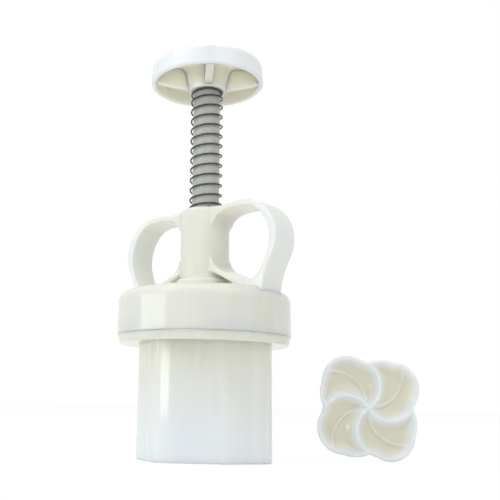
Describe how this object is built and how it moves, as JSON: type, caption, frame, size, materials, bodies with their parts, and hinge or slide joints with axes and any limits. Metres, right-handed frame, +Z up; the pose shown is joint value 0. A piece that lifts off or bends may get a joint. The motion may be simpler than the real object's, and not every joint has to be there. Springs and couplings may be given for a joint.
{
  "type": "mooncake press",
  "caption": "Hand mooncake press: square-sided barrel with a pinwheel cavity, cover with finger loops, sprung plunger with a drum knob, and a pinwheel stamp plate.",
  "frame": {"origin": "centre of the barrel's mouth, in the plane of the table it stands on", "axes": "+Z up along the plunger; the barrel's flat sides face +X, -X, +Y and -Y; the stamp plate stands beside the press at +X with its relief facing -Y"},
  "size_m": [0.1176, 0.066, 0.1561],
  "materials": {
    "ivory_plastic": "glossy",
    "steel": "satin"
  },
  "bodies": {
    "barrel": {"barrel": "ivory_plastic"},
    "cover": {"cover": "ivory_plastic", "finger_loop_left": "ivory_plastic", "finger_loop_right": "ivory_plastic"},
    "plunger": {"plunger_rod": "ivory_plastic", "piston": "ivory_plastic", "piston_screw": "steel", "knob": "ivory_plastic", "knob_screw": "steel", "knob_plug": "ivory_plastic", "spring": "steel"},
    "stamp": {"stamp_plate": "ivory_plastic"}
  },
  "joints": [
    {"name": "cover_twist", "type": "hinge", "parent": "barrel", "child": "cover", "pos_m": [0, 0, 0.0535], "axis": [0, 0, 1], "range_deg": [0, 45]},
    {"name": "plunger_slide", "type": "slide", "parent": "barrel", "child": "plunger", "axis": [0, 0, -1], "range_m": [0, 0.039], "stiffness_N_per_m": 400, "springref_m": -0.01, "deforming": ["spring"]},
    {"name": "stamp_lift", "type": "slide", "parent": "barrel", "child": "stamp", "axis": [0, 0, 1], "range_m": [0, 0.02]}
  ]
}
